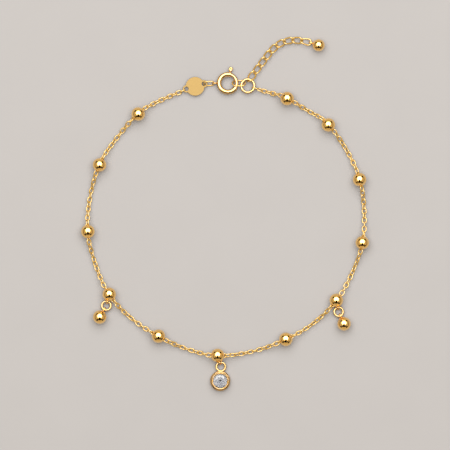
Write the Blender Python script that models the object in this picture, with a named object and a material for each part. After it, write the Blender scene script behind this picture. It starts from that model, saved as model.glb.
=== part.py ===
"""Gold anklet lying flat: cable chain, bead stations, three drops, tag, spring-ring clasp and extender.

Metres, +Z up. The anklet lies open on z = 0: the clasp is at +Y and the
drops hang towards -Y.
"""

import math
from dataclasses import dataclass

import bmesh
import bpy
from mathutils import Matrix, Vector

MM = 0.001

# Loop and stations
LOOP_RADIUS = 36.3 * MM
LOOP_SHIFT = 1.86 * MM
LOOP_CENTRE = Vector((0.0, -LOOP_SHIFT, 0.0))
BEAD_RADIUS = 1.825 * MM
BEAD_SIDES = 16
CHAIN_RADIUS = 0.55 * MM
BORE_CLEARANCE = 0.10 * MM
BORE_RADIUS = CHAIN_RADIUS + BORE_CLEARANCE
CHAIN_STRAIGHT = 0.30 * MM
CHAIN_REST_HEIGHT = 0.62 * MM
CHAIN_SIDES_RESOLUTION = 2
GAP = 0.06 * MM

# Eyes and jump rings
EYE_RADIUS = 0.60 * MM
EYE_WIRE = 0.19 * MM
RING_WIRE = 0.30 * MM
RING_RADIUS = 1.18 * MM
RING_HEIGHT = EYE_RADIUS + EYE_WIRE + 0.01 * MM
SOLDER_DEPTH = 0.13 * MM
BELLY_CLEARANCE = 0.10 * MM

# Pendant
FLANGE_RADIUS = 2.675 * MM
FLANGE_HEIGHT = 1.25 * MM
FLANGE_ROUND = 0.28 * MM
COLLAR_STEP = 0.33 * MM
COLLAR_TAPER = 0.06 * MM
RIM_WIDTH = 0.36 * MM
RIM_ROUND = 0.07 * MM
RIM_DROP = 0.12 * MM
BEZEL_HEIGHT = 2.35 * MM
BEZEL_SIDES = 28
BACK_HOLE_RADIUS = 0.9 * MM
STONE_RADIUS = 2.0 * MM
STONE_GAP = 0.10 * MM
STONE_INSET = 0.14 * MM
GIRDLE_DEPTH = 0.40 * MM
GIRDLE_HALF = 0.04 * MM
CROWN_HEIGHT = 0.28
STAR_HEIGHT = 0.1875
PAVILION_DEPTH = 0.86
TABLE_SHARE, STAR_SHARE, CULET_SHARE = 0.56, 0.80, 0.22
BAIL_TO_BEZEL = 3.75 * MM

# Spring-ring clasp
CLASP_RADIUS = 2.35 * MM
CLASP_TUBE = 0.65 * MM
CLASP_WALL = 0.11 * MM
CLASP_HEIGHT = 0.92 * MM
BODY_START, BODY_END = 68.0, 332.0
SLOT_START, SLOT_END = 73.0, 138.0
SLOT_HALF_ANGLE = 20.0
GATE_WIRE = 0.48 * MM
GATE_TAIL, GATE_TIP = 90.0, -33.0
TRIGGER_ANGLE = 78.6
TRIGGER_STEM = Vector((0.95, 0.40, 0.22)) * MM
TRIGGER_KNOB = Vector((0.66, 0.60, 0.42)) * MM
CLASP_EYE_RADIUS = 0.60 * MM
CLASP_EYE_WIRE = 0.19 * MM
CLASP_EYE_OFFSET = 3.50 * MM
STEM_ROOT = 0.10 * MM
KNOB_CLEARANCE = 0.08 * MM

# End ring
END_RING_RADIUS = 1.74 * MM
END_RING_WIRE = 0.35 * MM
END_RING_HEIGHT = 0.92 * MM

# Tag
TAG_TURN = 16.0
TAG_RADIUS = 2.43 * MM
TAG_EAR_RADIUS = 0.93 * MM
TAG_HOLE_RADIUS = 0.62 * MM
TAG_HOLE_OFFSET = 2.40 * MM
TAG_THICKNESS = 0.38 * MM
TAG_BEVEL = 0.06 * MM
TAG_HEIGHT = 0.74 * MM

# Links
LINK_WIRE = 0.185 * MM
TAG_CLASP_HALF_WIDTH = 0.74 * MM
CLASP_RING_HALF_WIDTH = 1.0 * MM
CLASP_RING_ROLL = -44.0
CLASP_RING_GATE_SLACK = 0.485 * MM
CLASP_RING_END_SLACK = 0.398 * MM
CURB_WIRE = 0.21 * MM
CURB_HALF_WIDTH = 0.84 * MM
CURB_PITCH = 2.31 * MM
CURB_HEIGHT = 0.70 * MM
CURB_GAP = 0.08 * MM
END_BEAD_RADIUS = 1.625 * MM
END_EYE_RADIUS = 0.56 * MM
WIRE_SIDES = 6

# End links of the chain, from the tag's hole and from the end ring
CHAIN_LINK_WIRE = 0.16 * MM
TAG_LINK_HALF = 0.75 * MM
TAG_LINK_HALF_WIDTH = 0.45 * MM
TAG_LINK_REACH = TAG_HOLE_RADIUS - CHAIN_LINK_WIRE - GAP
RING_LINK_HALF = 0.86 * MM
RING_LINK_HALF_WIDTH = END_RING_WIRE + CHAIN_LINK_WIRE + GAP
RING_LINK_REACH = END_RING_RADIUS - RING_LINK_HALF_WIDTH
LINK_END_GAP = CHAIN_LINK_WIRE + 0.10 * MM


@dataclass(frozen=True)
class Station:
    """A bead: its angle, its offset from the loop, and how far the chain before it bows out, in mm."""

    name: str
    angle: float
    offset: float
    bulge: float


STATIONS = (
    Station("bead_01", 129.3, 0.02, 0.47),
    Station("bead_02", 156.3, 0.04, 0.69),
    Station("bead_03", 184.8, 0.18, 1.03),
    Station("bead_04", 212.7, 0.18, 0.94),
    Station("bead_05", 240.2, -0.80, 1.07),
    Station("bead_06", 266.9, -0.33, 0.92),
    Station("bead_07", 297.0, -0.79, 1.13),
    Station("bead_08", 324.2, 0.10, 1.13),
    Station("bead_09", 350.6, 0.60, 0.88),
    Station("bead_10", 376.7, 0.95, 0.90),
    Station("bead_11", 402.6, 0.94, 0.91),
    Station("bead_12", 422.9, -0.14, 0.30),
)
LAST_BULGE = 0.04
CLASP_PLACE = (88.8, 0.0)
END_RING_PLACE = (80.35, -0.20)
TAG_PLACE = (102.6, 0.04)


@dataclass(frozen=True)
class Hanging:
    """A drop on a station bead: heading of its ring from the bead, and heading of the drop from the ring."""

    bead: str
    ring_heading: float
    drop_heading: float


LEFT_DROP = Hanging("bead_04", -104.6, -120.0)
RIGHT_DROP = Hanging("bead_08", -78.4, -66.0)
PENDANT = Hanging("bead_06", -74.5, -92.5)


@dataclass(frozen=True)
class CurbLink:
    """One extender link: its heading, and its roll about that heading at each end."""

    heading: float
    roll_start: float
    roll_end: float


EXTENDER = (
    CurbLink(53.5, -66.0, 45.0),
    CurbLink(53.0, -45.0, 45.0),
    CurbLink(53.0, -45.0, 45.0),
    CurbLink(53.0, -45.0, 45.0),
    CurbLink(44.5, -45.0, 45.0),
    CurbLink(28.0, -45.0, 45.0),
    CurbLink(10.0, -45.0, 45.0),
    CurbLink(-4.5, -45.0, 45.0),
    CurbLink(-12.0, -45.0, 0.0),
)
EXTENDER_START_HEADING = 75.0
END_BEAD_HEADING = -18.8

# Surfaces: colour, roughness, metallic
GOLD = ((0.83, 0.58, 0.25, 1.0), 0.16, 1.0)
SATIN_GOLD = ((0.85, 0.66, 0.38, 1.0), 0.42, 1.0)
CRYSTAL = ((0.93, 0.94, 0.96, 1.0), 0.03, 0.0)


def heading_vector(degrees: float) -> Vector:
    """Unit vector in the XY plane."""
    return Vector((math.cos(math.radians(degrees)), math.sin(math.radians(degrees)), 0.0))


def on_loop(place: tuple[float, float], height: float) -> Vector:
    """Point on the loop at (angle, offset outwards in mm)."""
    angle, offset = place
    return LOOP_CENTRE + heading_vector(angle) * (LOOP_RADIUS + offset * MM) + Vector((0, 0, height))


def axes_matrix(origin: Vector, forward: Vector) -> Matrix:
    """Frame with X along forward, Y level and Z up from it."""
    x = forward.normalized()
    y = Vector((0, 0, 1)).cross(x).normalized()
    z = x.cross(y)
    turn = Matrix((x, y, z)).transposed().to_4x4()
    return Matrix.Translation(origin) @ turn


def surface(name: str, look: tuple) -> bpy.types.Material:
    """Principled material from (colour, roughness, metallic)."""
    colour, roughness, metallic = look
    material = bpy.data.materials.new(name)
    material.use_nodes = True
    shader = material.node_tree.nodes["Principled BSDF"]
    shader.inputs["Base Color"].default_value = colour
    shader.inputs["Roughness"].default_value = roughness
    shader.inputs["Metallic"].default_value = metallic
    if look is CRYSTAL:
        shader.inputs["Transmission Weight"].default_value = 0.85
        shader.inputs["IOR"].default_value = 2.1
    material.diffuse_color = colour
    return material


def add_object(name: str, data, look: tuple, place: Matrix = Matrix.Identity(4)):
    """Puts mesh or curve data in the scene, with a material of its own."""
    obj = bpy.data.objects.new(name, data)
    obj.matrix_world = place
    obj.data.materials.append(surface(name, look))
    bpy.context.scene.collection.objects.link(obj)
    return obj


def finish_mesh(name: str, bm: bmesh.types.BMesh, smooth: bool = True) -> bpy.types.Mesh:
    """Closes a bmesh into a mesh with outward normals."""
    bmesh.ops.recalc_face_normals(bm, faces=bm.faces)
    mesh = bpy.data.meshes.new(name)
    bm.to_mesh(mesh)
    bm.free()
    if smooth:
        mesh.shade_smooth()
        mesh.set_sharp_from_angle(angle=math.radians(50))
    return mesh


def lathe(name: str, profile: list[tuple[float, float]], sides: int, closed: bool) -> bpy.types.Mesh:
    """Surface of revolution of a (radius, height) profile, joined end to end if closed."""
    bm = bmesh.new()
    rings = []
    for radius, height in profile:
        if radius < 1e-9:
            rings.append([bm.verts.new((0, 0, height))] * sides)
            continue
        turn = [2 * math.pi * k / sides for k in range(sides)]
        rings.append([bm.verts.new((radius * math.cos(a), radius * math.sin(a), height)) for a in turn])
    pairs = list(zip(rings, rings[1:])) + ([(rings[-1], rings[0])] if closed else [])
    for lower, upper in pairs:
        for k in range(sides):
            corners = [lower[k], lower[(k + 1) % sides], upper[(k + 1) % sides], upper[k]]
            bm.faces.new(list(dict.fromkeys(corners)))
    return finish_mesh(name, bm)


def sweep(name: str, path: list[tuple[Vector, Vector]], radius: float, closed: bool, sides: int = WIRE_SIDES):
    """Round wire along (point, reference normal) pairs."""
    bm = bmesh.new()
    count = len(path)
    rings = []
    for k, (point, normal) in enumerate(path):
        before = path[(k - 1) % count][0] if closed or k > 0 else point
        after = path[(k + 1) % count][0] if closed or k < count - 1 else point
        incoming, outgoing = (point - before).normalized(), (after - point).normalized()
        tangent = (incoming + outgoing).normalized()
        mitre = 1.0
        if incoming.length > 0 and outgoing.length > 0:
            mitre = 1.0 / max(0.8, tangent.dot(outgoing))
        side = tangent.cross(normal).normalized()
        lift = side.cross(tangent)
        ring = []
        for s in range(sides):
            a = 2 * math.pi * (s + 0.5) / sides
            ring.append(bm.verts.new(point + radius * (mitre * math.cos(a) * side + math.sin(a) * lift)))
        rings.append(ring)
    pairs = list(zip(rings, rings[1:])) + ([(rings[-1], rings[0])] if closed else [])
    for lower, upper in pairs:
        for s in range(sides):
            bm.faces.new([lower[s], lower[(s + 1) % sides], upper[(s + 1) % sides], upper[s]])
    if not closed:
        bm.faces.new(rings[0])
        bm.faces.new(rings[-1])
    return finish_mesh(name, bm)


def ring_mesh(name: str, radius: float, wire: float, sides: int = 16, wire_sides: int = 8) -> bpy.types.Mesh:
    """Round ring in the XY plane."""
    up = Vector((0, 0, 1))
    path = [(heading_vector(360 * (k + 0.5) / sides) * radius, up) for k in range(sides)]
    return sweep(name, path, wire, True, wire_sides)


def sphere_profile(radius: float, steps: int, bore: float = 0.0) -> list[tuple[float, float]]:
    """Half outline of a sphere from its lower to its upper end, ending at a bore's edge."""
    end = math.asin(bore / radius)
    turns = [end + (math.pi - 2 * end) * k / steps for k in range(steps + 1)]
    return [(radius * math.sin(a) if a not in (0.0, math.pi) else 0.0, -radius * math.cos(a)) for a in turns]


def ball_mesh(name: str, radius: float) -> bpy.types.Mesh:
    """Plain sphere."""
    profile = sphere_profile(radius, 10)
    profile[0], profile[-1] = (0.0, -radius), (0.0, radius)
    return lathe(name, profile, BEAD_SIDES, False)


def link_path(half_length: float, half_width: float, roll_start: float, roll_end: float):
    """Centreline of an oval link with its long side on X, and the normal at each point."""
    points = []
    straight = half_length - half_width
    for end in (1, -1):
        for k in range(6):
            turn = math.radians(-90 + 36 * k)
            reach = half_width if k in (0, 5) else half_width / math.cos(math.radians(18))
            points.append((end * (straight + reach * math.cos(turn)), end * reach * math.sin(turn)))
        points.append((0.0, end * half_width))
    path = []
    for x, across in points:
        share = 0.5 + 0.5 * math.sin(math.pi / 2 * max(-1.0, min(1.0, x / half_length)))
        roll = math.radians(roll_start + (roll_end - roll_start) * share)
        point = Vector((x, across * math.cos(roll), across * math.sin(roll)))
        path.append((point, Vector((0, -math.sin(roll), math.cos(roll)))))
    return path


def add_link(name: str, start: Vector, end: Vector, half_width: float, wire: float, rolls=(90.0, 90.0)):
    """Oval link whose wire's centreline reaches from start to end."""
    half_length = (end - start).length / 2
    path = link_path(half_length, half_width, *rolls)
    return add_object(name, sweep(name, path, wire, True), GOLD, axes_matrix((start + end) / 2, end - start))


def join(obj, helper) -> None:
    """Solders the helper to the object, and leaves the helper out of the part."""
    modifier = obj.modifiers.new("solder_" + helper.name, "BOOLEAN")
    modifier.operation = "UNION"
    modifier.solver = "EXACT"
    modifier.object = helper
    helper.hide_render = True
    helper.display_type = "WIRE"


def add_eye(owner, centre: Vector, heading: Vector, radius: float, wire: float) -> None:
    """Solders a small upright wire ring to its owner."""
    name = owner.name + "_eye"
    upright = Vector((0, 0, 1)).cross(heading)
    path = [
        (
            centre + radius * (math.cos(a) * heading + math.sin(a) * Vector((0, 0, 1))),
            upright,
        )
        for a in (2 * math.pi * (k + 0.5) / 12 for k in range(12))
    ]
    join(owner, add_object(name, sweep(name, path, wire, True), GOLD))


def eye_reach(ball: float, eye_radius: float, eye_height: float) -> float:
    """Level distance from a resting ball's centre to the centre of an eye soldered to its surface."""
    apart = ball + eye_radius + EYE_WIRE - SOLDER_DEPTH
    return math.sqrt(apart**2 - (ball - eye_height) ** 2)


def belly_reach() -> float:
    """Level distance from a bead's centre at which a jump ring clears the bead's underside."""
    apart = BEAD_RADIUS + RING_WIRE + BELLY_CLEARANCE
    return RING_RADIUS + math.sqrt(apart**2 - (BEAD_RADIUS - RING_HEIGHT) ** 2)


def station_points() -> list[Vector]:
    """Bead centres round the loop."""
    return [on_loop((s.angle, s.offset), BEAD_RADIUS) for s in STATIONS]


def tag_hole(end: int) -> Vector:
    """Centre of the tag's hole; end is -1 on the chain's side and 1 on the clasp's."""
    return on_loop(TAG_PLACE, TAG_HEIGHT) + heading_vector(TAG_TURN) * end * TAG_HOLE_OFFSET


def chain_ends() -> tuple[Vector, Vector]:
    """Where the chain starts beside the tag's end link and stops beside the end ring's link."""
    centres = station_points()
    out = (centres[0] - tag_hole(-1)) * Vector((1, 1, 0))
    start = tag_hole(-1) + out.normalized() * (TAG_LINK_REACH + 2 * TAG_LINK_HALF + LINK_END_GAP)
    ring = on_loop(END_RING_PLACE, END_RING_HEIGHT)
    out = (centres[-1] - ring) * Vector((1, 1, 0))
    stop = ring + out.normalized() * (RING_LINK_REACH + 2 * RING_LINK_HALF + LINK_END_GAP)
    return start, stop


def add_chain() -> list[Vector]:
    """The cable chain's run through all the beads, and the chain's direction at each bead."""
    centres = station_points()
    start, stop = chain_ends()
    anchors = [start, *centres, stop]
    headings = [(after - before).normalized() for before, after in zip(anchors, anchors[2:])]
    headings = [Vector((h.x, h.y, 0)).normalized() for h in headings]
    reach = BEAD_RADIUS + CHAIN_STRAIGHT
    leaves = [start] + [c + h * reach for c, h in zip(centres, headings)]
    arrives = [c - h * reach for c, h in zip(centres, headings)] + [stop]
    bulges = [s.bulge * MM for s in STATIONS] + [LAST_BULGE * MM]
    route = []
    for leave, arrive, before, after, bulge in zip(leaves, arrives, anchors, anchors[1:], bulges):
        middle = (leave + arrive) / 2
        outward = ((middle - LOOP_CENTRE) * Vector((1, 1, 0))).normalized()
        bow = bulge - (middle - (before + after) / 2).dot(outward)
        route.append(leave)
        for share in (0.2, 0.4, 0.6, 0.8):
            point = leave.lerp(arrive, share) + outward * bow * 4 * share * (1 - share)
            nearest = leave.z if share < 0.5 else arrive.z
            droop = 0.28 if share in (0.2, 0.8) else 0.02
            point.z = CHAIN_REST_HEIGHT + (nearest - CHAIN_REST_HEIGHT) * droop
            route.append(point)
        route.append(arrive)
    curve = bpy.data.curves.new("cable_chain", "CURVE")
    curve.dimensions = "3D"
    curve.bevel_depth = CHAIN_RADIUS
    curve.bevel_resolution = CHAIN_SIDES_RESOLUTION
    curve.use_fill_caps = True
    spline = curve.splines.new("POLY")
    spline.points.add(len(route) - 1)
    for target, point in zip(spline.points, route):
        target.co = (*point, 1.0)
    add_object("cable_chain", curve, GOLD)
    return headings


def add_beads(headings: list[Vector]) -> dict:
    """Station beads bored along the chain."""
    beads = {}
    for station, centre, heading in zip(STATIONS, station_points(), headings):
        profile = sphere_profile(BEAD_RADIUS, 9, BORE_RADIUS)
        mesh = lathe(station.name, profile, BEAD_SIDES, True)
        turn = Vector((0, 0, 1)).rotation_difference(heading).to_matrix().to_4x4()
        beads[station.name] = add_object(station.name, mesh, GOLD, Matrix.Translation(centre) @ turn)
    return beads


def hang(beads: dict, hanging: Hanging) -> Vector:
    """Solders the eye for a drop to its bead and returns the centre of the ring that hangs there."""
    bead = beads[hanging.bead]
    heading = heading_vector(hanging.ring_heading)
    centre = bead.matrix_world.translation * Vector((1, 1, 0)) + Vector((0, 0, RING_HEIGHT))
    ring = centre + heading * belly_reach()
    add_eye(bead, ring - heading * RING_RADIUS, heading, EYE_RADIUS, EYE_WIRE)
    return ring


def add_bead_drop(beads: dict, hanging: Hanging, side: str) -> None:
    """Jump ring and bead drop."""
    ring = hang(beads, hanging)
    mesh = ring_mesh("jump_ring_" + side, RING_RADIUS, RING_WIRE)
    add_object("jump_ring_" + side, mesh, GOLD, Matrix.Translation(ring))
    heading = heading_vector(hanging.drop_heading)
    eye = ring + heading * RING_RADIUS
    ball = eye + heading * eye_reach(BEAD_RADIUS, EYE_RADIUS, RING_HEIGHT)
    ball.z = BEAD_RADIUS
    name = "drop_bead_" + side
    drop = add_object(name, ball_mesh(name, BEAD_RADIUS), GOLD, Matrix.Translation(ball))
    add_eye(drop, eye, heading, EYE_RADIUS, EYE_WIRE)


def add_pendant(beads: dict) -> None:
    """Bezel with its soldered bail ring, and the cut stone in it."""
    ring = hang(beads, PENDANT)
    centre = ring + heading_vector(PENDANT.drop_heading) * BAIL_TO_BEZEL
    centre.z = 0
    top = BEZEL_HEIGHT
    collar = FLANGE_RADIUS - COLLAR_STEP
    rim = collar - COLLAR_TAPER - RIM_WIDTH
    lip = STONE_RADIUS - STONE_INSET
    girdle = top - GIRDLE_DEPTH
    pocket = STONE_RADIUS + STONE_GAP
    seat = girdle - 2 * GIRDLE_HALF - STONE_GAP
    slope = PAVILION_DEPTH
    profile = [
        (FLANGE_RADIUS - FLANGE_ROUND, 0.0),
        (FLANGE_RADIUS, FLANGE_ROUND),
        (FLANGE_RADIUS, FLANGE_HEIGHT - FLANGE_ROUND),
        (FLANGE_RADIUS - FLANGE_ROUND, FLANGE_HEIGHT),
        (collar, FLANGE_HEIGHT + FLANGE_ROUND / 2),
        (collar - COLLAR_TAPER, top - RIM_ROUND),
        (collar - COLLAR_TAPER - RIM_ROUND, top),
        (rim, top - RIM_ROUND / 2),
        (lip, top - RIM_DROP),
        (lip, top - RIM_DROP - RIM_ROUND),
        (pocket, top - RIM_DROP - 2 * RIM_ROUND),
        (pocket, seat),
        (BACK_HOLE_RADIUS, seat - (pocket - BACK_HOLE_RADIUS) * slope),
        (BACK_HOLE_RADIUS, 0.0),
    ]
    bezel = add_object("bezel", lathe("bezel", profile, BEZEL_SIDES, True), GOLD, Matrix.Translation(centre))
    join(bezel, add_object("bail", ring_mesh("bail", RING_RADIUS, RING_WIRE), GOLD, Matrix.Translation(ring)))

    bm = bmesh.new()
    for count, share, height, shift in (
        (8, TABLE_SHARE, girdle + CROWN_HEIGHT * STONE_RADIUS, 0.5),
        (8, STAR_SHARE, girdle + STAR_HEIGHT * STONE_RADIUS, 0.0),
        (16, 1.0, girdle + GIRDLE_HALF, 0.0),
        (16, 1.0, girdle - GIRDLE_HALF, 0.0),
        (8, CULET_SHARE, girdle - (1 - CULET_SHARE) * PAVILION_DEPTH * STONE_RADIUS, 0.0),
        (1, 0.0, girdle - PAVILION_DEPTH * STONE_RADIUS, 0.0),
    ):
        for k in range(count):
            a = 2 * math.pi * (k + shift) / count
            reach = share * STONE_RADIUS
            bm.verts.new((reach * math.cos(a), reach * math.sin(a), height))
    bmesh.ops.convex_hull(bm, input=bm.verts)
    add_object("stone", finish_mesh("stone", bm, False), CRYSTAL, Matrix.Translation(centre))


def pipe_mesh(name: str) -> bpy.types.Mesh:
    """Hollow clasp body: a wall of cells round an arc, with the trigger's slot left out on its outer side."""
    stops = [BODY_START, SLOT_START]
    stops += [SLOT_START + (SLOT_END - SLOT_START) * k / 5 for k in range(1, 6)]
    stops += [SLOT_END + (BODY_END - SLOT_END) * k / 14 for k in range(1, 15)]
    arc = 360 - 2 * SLOT_HALF_ANGLE
    around = [-SLOT_HALF_ANGLE] + [SLOT_HALF_ANGLE + arc * k / 10 for k in range(10)]
    bm = bmesh.new()
    grid = []
    for stop in stops:
        outward = heading_vector(stop)
        row = []
        for turn in around:
            a = math.radians(turn)
            direction = math.cos(a) * outward + math.sin(a) * Vector((0, 0, 1))
            centre = outward * CLASP_RADIUS
            row.append([bm.verts.new(centre + direction * r) for r in (CLASP_TUBE, CLASP_TUBE - CLASP_WALL)])
        grid.append(row)
    rows, columns = len(stops) - 1, len(around)

    def solid(i: int, j: int) -> bool:
        """Whether this cell of the wall is there."""
        inside = 0 <= i < rows
        return inside and not (j % columns == 0 and SLOT_START <= stops[i] < SLOT_END)

    for i in range(rows):
        for j in range(columns):
            if not solid(i, j):
                continue
            (a, b), (c, d) = grid[i][j], grid[i][(j + 1) % columns]
            (e, f), (g, h) = grid[i + 1][j], grid[i + 1][(j + 1) % columns]
            bm.faces.new([a, c, g, e])
            bm.faces.new([b, f, h, d])
            for there, quad in (
                (solid(i - 1, j), [a, b, d, c]),
                (solid(i + 1, j), [e, g, h, f]),
                (solid(i, j - 1), [a, e, f, b]),
                (solid(i, j + 1), [c, d, h, g]),
            ):
                if not there:
                    bm.faces.new(quad)
    loose = [v for v in bm.verts if not v.link_faces]
    bmesh.ops.delete(bm, geom=loose, context="VERTS")
    return finish_mesh(name, bm)


def add_clasp() -> Vector:
    """Spring-ring clasp: body with its eye, and the sliding gate with its trigger."""
    centre = on_loop(CLASP_PLACE, CLASP_HEIGHT)
    place = Matrix.Translation(centre)
    body = add_object("clasp_body", pipe_mesh("clasp_body"), GOLD, place)
    eye = centre - Vector((CLASP_EYE_OFFSET, 0, 0))
    eye.z = CLASP_EYE_RADIUS + CLASP_EYE_WIRE + 0.01 * MM
    add_eye(body, eye, Vector((-1, 0, 0)), CLASP_EYE_RADIUS, CLASP_EYE_WIRE)

    up = Vector((0, 0, 1))
    turns = [GATE_TIP + (GATE_TAIL - GATE_TIP) * k / 12 for k in range(13)]
    path = [(heading_vector(t) * CLASP_RADIUS, up) for t in turns]
    gate = add_object("clasp_gate", sweep("clasp_gate", path, GATE_WIRE, False, 8), GOLD, place)
    outward = heading_vector(TRIGGER_ANGLE)
    knob_centre = CLASP_RADIUS + CLASP_TUBE + KNOB_CLEARANCE + TRIGGER_KNOB.x
    for part, middle, size, maker in (
        ("trigger_stem", CLASP_RADIUS + TRIGGER_STEM.x / 2 + STEM_ROOT, TRIGGER_STEM / 2, box_mesh),
        ("trigger_knob", knob_centre, TRIGGER_KNOB, egg_mesh),
    ):
        join(gate, add_object(part, maker(part, size), GOLD, axes_matrix(centre + outward * middle, outward)))
    return eye


def box_mesh(name: str, half: Vector) -> bpy.types.Mesh:
    """Box of these half sizes."""
    bm = bmesh.new()
    bmesh.ops.create_cube(bm, size=2.0, matrix=Matrix.Diagonal((*half, 1.0)))
    return finish_mesh(name, bm, False)


def egg_mesh(name: str, half: Vector) -> bpy.types.Mesh:
    """Rounded knob of these half sizes, a little wider at its outer end."""
    bm = bmesh.new()
    bmesh.ops.create_uvsphere(bm, u_segments=12, v_segments=8, radius=1.0)
    for vert in bm.verts:
        widen = 0.88 + 0.12 * vert.co.x
        vert.co = Vector((vert.co.x * half.x, vert.co.y * half.y * widen, vert.co.z * half.z))
    return finish_mesh(name, bm)


def add_tag() -> None:
    """Flat bare tag with an ear and a hole at each end."""
    reach = (TAG_RADIUS**2 - TAG_EAR_RADIUS**2 + TAG_HOLE_OFFSET**2) / (2 * TAG_HOLE_OFFSET)
    height = math.sqrt(TAG_RADIUS**2 - reach**2)
    on_disc = math.atan2(height, reach)
    on_ear = math.atan2(height, reach - TAG_HOLE_OFFSET)
    outline = []
    for offset, radius, first, last, steps in (
        (TAG_HOLE_OFFSET, TAG_EAR_RADIUS, -on_ear, on_ear, 10),
        (0.0, TAG_RADIUS, on_disc, math.pi - on_disc, 16),
        (-TAG_HOLE_OFFSET, TAG_EAR_RADIUS, math.pi - on_ear, math.pi + on_ear, 10),
        (0.0, TAG_RADIUS, math.pi + on_disc, 2 * math.pi - on_disc, 16),
    ):
        for k in range(steps):
            a = first + (last - first) * k / steps
            outline.append((offset + radius * math.cos(a), radius * math.sin(a)))
    curve = bpy.data.curves.new("tag", "CURVE")
    curve.dimensions = "2D"
    curve.fill_mode = "BOTH"
    curve.extrude = TAG_THICKNESS / 2 - TAG_BEVEL
    curve.bevel_depth = TAG_BEVEL
    curve.bevel_resolution = 0
    holes = [
        [
            (end * TAG_HOLE_OFFSET + TAG_HOLE_RADIUS * math.cos(a), TAG_HOLE_RADIUS * math.sin(a))
            for a in (2 * math.pi * k / 12 for k in range(12))
        ]
        for end in (-1, 1)
    ]
    for loop in (outline, *holes):
        spline = curve.splines.new("POLY")
        spline.points.add(len(loop) - 1)
        spline.use_cyclic_u = True
        for target, (x, y) in zip(spline.points, loop):
            target.co = (x, y, 0.0, 1.0)
    turn = Matrix.Rotation(math.radians(TAG_TURN), 4, "Z")
    add_object("tag", curve, SATIN_GOLD, Matrix.Translation(on_loop(TAG_PLACE, TAG_HEIGHT)) @ turn)


def add_connecting_links(clasp_eye: Vector) -> None:
    """Links that hold tag, clasp, end ring and chain together."""
    hole = tag_hole(1)
    end = clasp_eye - Vector((CLASP_EYE_RADIUS - LINK_WIRE - CLASP_EYE_WIRE - GAP, 0, 0))
    start = Vector((hole.x, hole.y, end.z))
    add_link("tag_clasp_link", start, end, TAG_CLASP_HALF_WIDTH, LINK_WIRE, (45.0, 45.0))

    clasp = on_loop(CLASP_PLACE, CLASP_HEIGHT)
    ring = on_loop(END_RING_PLACE, END_RING_HEIGHT)
    inside_gate = CLASP_RADIUS - GATE_WIRE - LINK_WIRE - CLASP_RING_GATE_SLACK
    ring_wire = ring.x - math.sqrt(END_RING_RADIUS**2 - (clasp.y - ring.y) ** 2)
    inside_ring = ring_wire + END_RING_WIRE + LINK_WIRE + CLASP_RING_END_SLACK
    start, end = clasp + Vector((inside_gate, 0, 0)), Vector((inside_ring, clasp.y, clasp.z))
    rolls = (CLASP_RING_ROLL, CLASP_RING_ROLL)
    add_link("clasp_ring_link", start, end, CLASP_RING_HALF_WIDTH, LINK_WIRE, rolls)

    centres = station_points()
    hole = tag_hole(-1)
    out = ((centres[0] - hole) * Vector((1, 1, 0))).normalized()
    start = hole + out * TAG_LINK_REACH
    end = start + out * 2 * TAG_LINK_HALF
    add_link("chain_end_link_tag", start, end, TAG_LINK_HALF_WIDTH, CHAIN_LINK_WIRE)

    ring = on_loop(END_RING_PLACE, END_RING_HEIGHT)
    mesh = ring_mesh("end_ring", END_RING_RADIUS, END_RING_WIRE)
    add_object("end_ring", mesh, GOLD, Matrix.Translation(ring))
    out = ((centres[-1] - ring) * Vector((1, 1, 0))).normalized()
    start = ring + out * RING_LINK_REACH
    end = start + out * 2 * RING_LINK_HALF
    add_link("chain_end_link_ring", start, end, RING_LINK_HALF_WIDTH, CHAIN_LINK_WIRE)


def add_extender() -> None:
    """Nine twisted curb links, the first of them through the end ring, and the end bead."""
    ring = on_loop(END_RING_PLACE, END_RING_HEIGHT)
    joint = ring + heading_vector(EXTENDER_START_HEADING) * END_RING_RADIUS
    before, overlap = END_RING_WIRE + CURB_WIRE + CURB_GAP, CURB_WIRE + CURB_GAP / 2
    for number, link in enumerate(EXTENDER, 1):
        after = joint + heading_vector(link.heading) * CURB_PITCH
        after.z = CURB_HEIGHT
        along = (after - joint).normalized()
        first, last = joint - along * before, after + along * overlap
        rolls = (link.roll_start, link.roll_end)
        add_link(f"extender_link_{number}", first, last, CURB_HALF_WIDTH, CURB_WIRE, rolls)
        joint, before = after, overlap

    hook = (CURB_WIRE + EYE_WIRE + CURB_GAP) / 2
    heading = heading_vector(END_BEAD_HEADING)
    height = END_EYE_RADIUS + EYE_WIRE + 0.01 * MM
    eye = joint + heading * (END_EYE_RADIUS - hook)
    eye.z = height
    ball = eye + heading * eye_reach(END_BEAD_RADIUS, END_EYE_RADIUS, height)
    ball.z = END_BEAD_RADIUS
    mesh = ball_mesh("end_bead", END_BEAD_RADIUS)
    bead = add_object("end_bead", mesh, GOLD, Matrix.Translation(ball))
    add_eye(bead, eye, heading, END_EYE_RADIUS, EYE_WIRE)


def main() -> None:
    """Builds the anklet in an empty scene."""
    for obj in list(bpy.data.objects):
        bpy.data.objects.remove(obj, do_unlink=True)
    headings = add_chain()
    beads = add_beads(headings)
    add_bead_drop(beads, LEFT_DROP, "left")
    add_bead_drop(beads, RIGHT_DROP, "right")
    add_pendant(beads)
    add_tag()
    add_connecting_links(add_clasp())
    add_extender()


main()
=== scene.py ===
"""Dresses the anklet: polished beads, interlocked links, clasp, stone and satin tag, on a pale floor."""

import logging
import math
from dataclasses import dataclass, field
from enum import Enum

import bmesh
import bpy
from bpy.types import ID, Material, Mesh, Node, NodeSocket, NodeTree, Object
from mathutils import Matrix, Vector


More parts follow.
